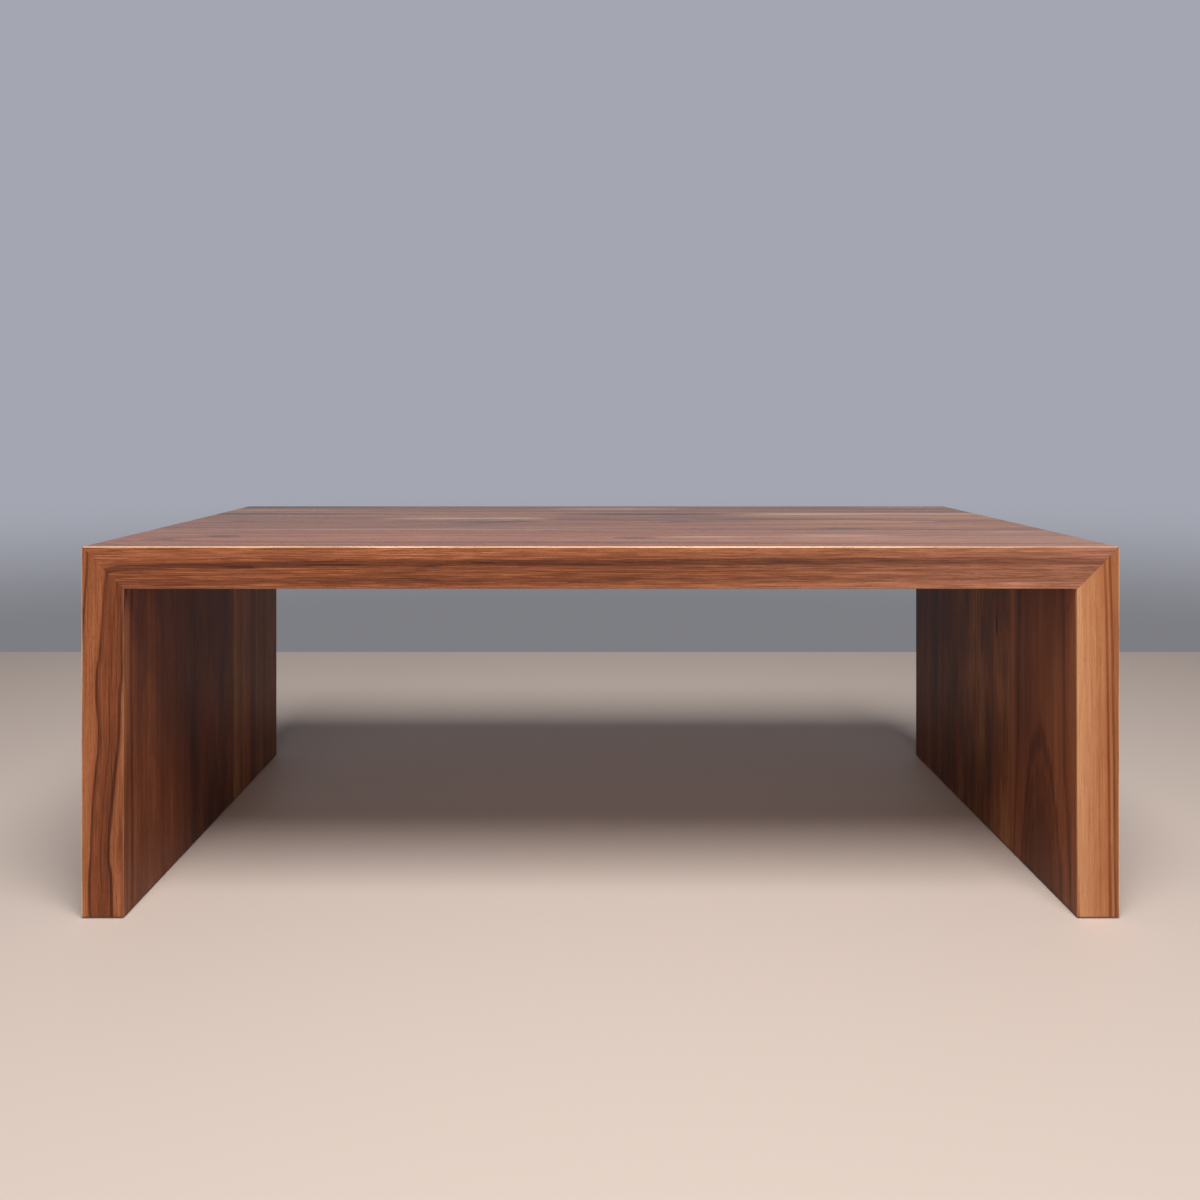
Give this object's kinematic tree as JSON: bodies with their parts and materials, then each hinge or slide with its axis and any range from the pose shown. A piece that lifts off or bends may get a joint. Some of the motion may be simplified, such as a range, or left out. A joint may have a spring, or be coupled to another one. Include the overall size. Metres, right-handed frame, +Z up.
{
  "type": "waterfall coffee table",
  "caption": "Low walnut coffee table whose thick top turns down at mitred corners into slab sides, standing on recessed felt pads.",
  "frame": {"origin": "on the floor, under the middle of the top", "axes": "+X to the right along the top's length, +Y to the back, +Z up; the front faces -Y"},
  "size_m": [1.219, 0.61, 0.437],
  "materials": {
    "walnut": "satin oil",
    "walnut_pale": "satin oil",
    "beech": "raw",
    "felt": "felted wool"
  },
  "bodies": {
    "root": {"top_board_front": "walnut", "top_board_middle": "walnut", "top_board_rear": "walnut", "left_board_front": "walnut", "left_board_middle": "walnut", "left_board_rear": "walnut", "right_board_front": "walnut_pale", "right_board_second": "walnut", "right_board_third": "walnut", "right_board_rear": "walnut", "mitre_tenons_left": "beech", "mitre_tenons_right": "beech", "top_front_seam_biscuits": "beech", "top_rear_seam_biscuits": "beech", "left_front_seam_biscuits": "beech", "left_rear_seam_biscuits": "beech", "right_front_seam_biscuits": "beech", "right_middle_seam_biscuits": "beech", "right_rear_seam_biscuits": "beech", "felt_pad_front_left": "felt", "felt_pad_rear_left": "felt", "felt_pad_front_right": "felt", "felt_pad_rear_right": "felt"}
  },
  "joints": []
}
